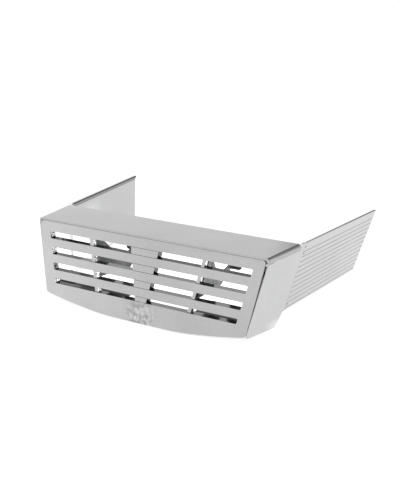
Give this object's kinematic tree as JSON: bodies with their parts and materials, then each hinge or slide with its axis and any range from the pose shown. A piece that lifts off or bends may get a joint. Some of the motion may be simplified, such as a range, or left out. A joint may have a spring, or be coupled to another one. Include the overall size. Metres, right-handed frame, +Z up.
{
  "type": "cowl vent",
  "caption": "Bright slotted grille set in a cover with splayed side cheeks and long grooved wings that run back.",
  "frame": {"origin": "centre of the footprint, on the plane that the vent rests on", "axes": "+X across the grille, to the right as seen from in front of it; +Y from the grille back towards the wing tips; +Z up from the surface that the vent stands on"},
  "size_m": [0.3662, 0.2898, 0.097],
  "materials": {
    "grille_chrome": "bright chrome plating",
    "blank_chrome": "bright chrome plating",
    "cover_chrome": "bright chrome plating",
    "cheek_chrome": "bright chrome plating",
    "wing_chrome": "bright chrome plating",
    "pin_chrome": "bright chrome plating",
    "bracket_steel": "dark passivated sheet steel",
    "screw_zinc": "zinc-plated screw",
    "foot_plastic": "black moulded plastic",
    "liner_foam": "black foam"
  },
  "bodies": {
    "root": {"blank_screw_1": "screw_zinc", "blank_screw_2": "screw_zinc", "centre_blank": "blank_chrome", "cover_liner": "liner_foam", "grille_fascia": "grille_chrome", "left_bracket": "bracket_steel", "left_bracket_screw_1": "screw_zinc", "left_bracket_screw_2": "screw_zinc", "left_cheek": "cheek_chrome", "left_cover_screw_1": "screw_zinc", "left_cover_screw_2": "screw_zinc", "left_fascia_screw_1": "screw_zinc", "left_fascia_screw_2": "screw_zinc", "left_foot_plate": "foot_plastic", "left_foot_screw_1": "screw_zinc", "left_foot_screw_2": "screw_zinc", "left_seam_pin_1": "pin_chrome", "left_seam_pin_2": "pin_chrome", "left_seam_pin_3": "pin_chrome", "left_wing": "wing_chrome", "right_bracket": "bracket_steel", "right_bracket_screw_1": "screw_zinc", "right_bracket_screw_2": "screw_zinc", "right_cheek": "cheek_chrome", "right_cover_screw_1": "screw_zinc", "right_cover_screw_2": "screw_zinc", "right_fascia_screw_1": "screw_zinc", "right_fascia_screw_2": "screw_zinc", "right_foot_plate": "foot_plastic", "right_foot_screw_1": "screw_zinc", "right_foot_screw_2": "screw_zinc", "right_seam_pin_1": "pin_chrome", "right_seam_pin_2": "pin_chrome", "right_seam_pin_3": "pin_chrome", "right_wing": "wing_chrome", "top_cover": "cover_chrome"}
  },
  "joints": []
}
